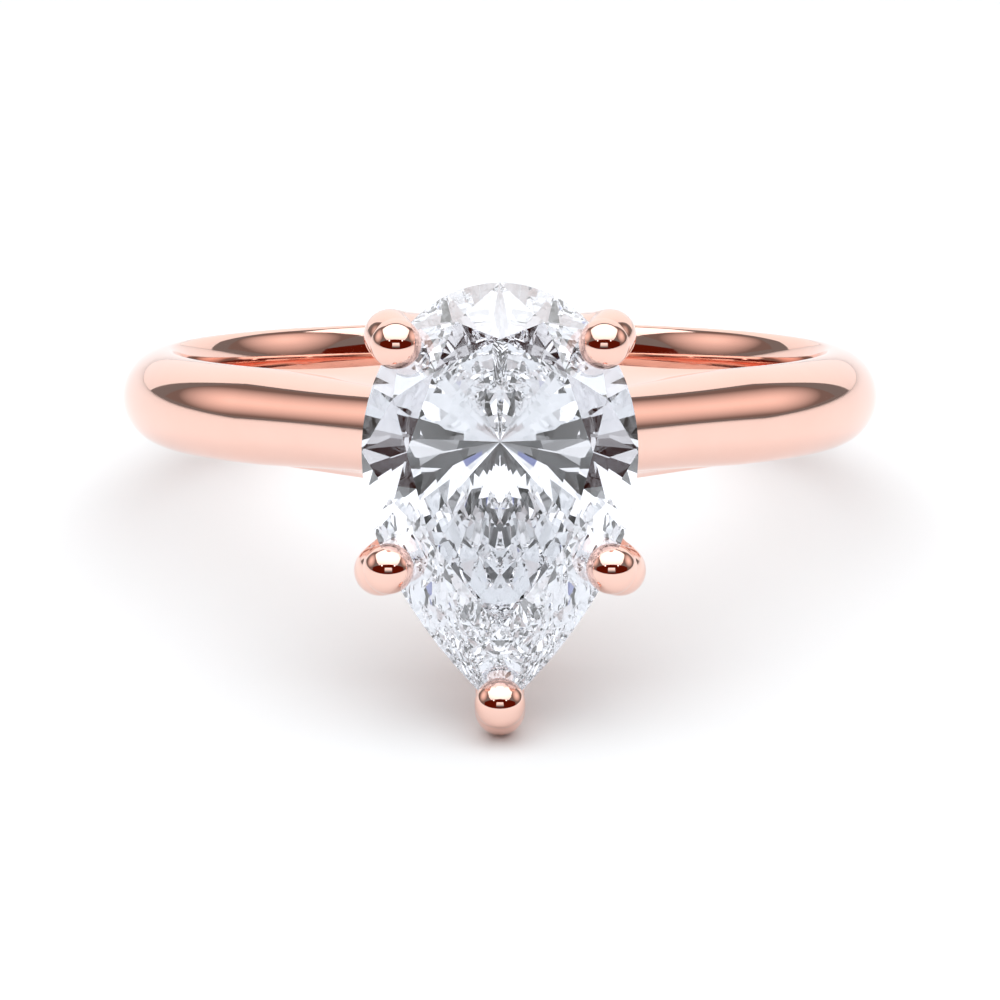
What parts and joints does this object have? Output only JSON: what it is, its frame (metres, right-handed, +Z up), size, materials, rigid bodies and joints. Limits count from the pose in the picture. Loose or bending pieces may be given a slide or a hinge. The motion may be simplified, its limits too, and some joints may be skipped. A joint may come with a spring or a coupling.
{
  "type": "engagement ring",
  "caption": "Solitaire engagement ring: a polished half-round rose gold band whose shoulders rise to a claw basket that holds a pear-cut diamond.",
  "frame": {"origin": "centre of the finger hole, midway across the band", "axes": "+Z up from the table that the ring lies on, resting on its point claw and the back of its shank; the stone faces -Y and the back of the shank is towards +Y; +X is to the right as one looks at the stone"},
  "size_m": [0.0194, 0.0241, 0.0104],
  "materials": {
    "rose_gold": "14 carat rose gold, polished to a mirror",
    "diamond": "colourless diamond, cut and polished facets"
  },
  "bodies": {
    "root": {"shank": "rose_gold", "shoulder_left": "rose_gold", "shoulder_right": "rose_gold", "bridge": "rose_gold", "lower_gallery_rail": "rose_gold", "upper_gallery_rail": "rose_gold", "claw_upper_left": "rose_gold", "claw_upper_right": "rose_gold", "claw_lower_left": "rose_gold", "claw_lower_right": "rose_gold", "claw_point": "rose_gold", "diamond": "diamond"}
  },
  "joints": []
}
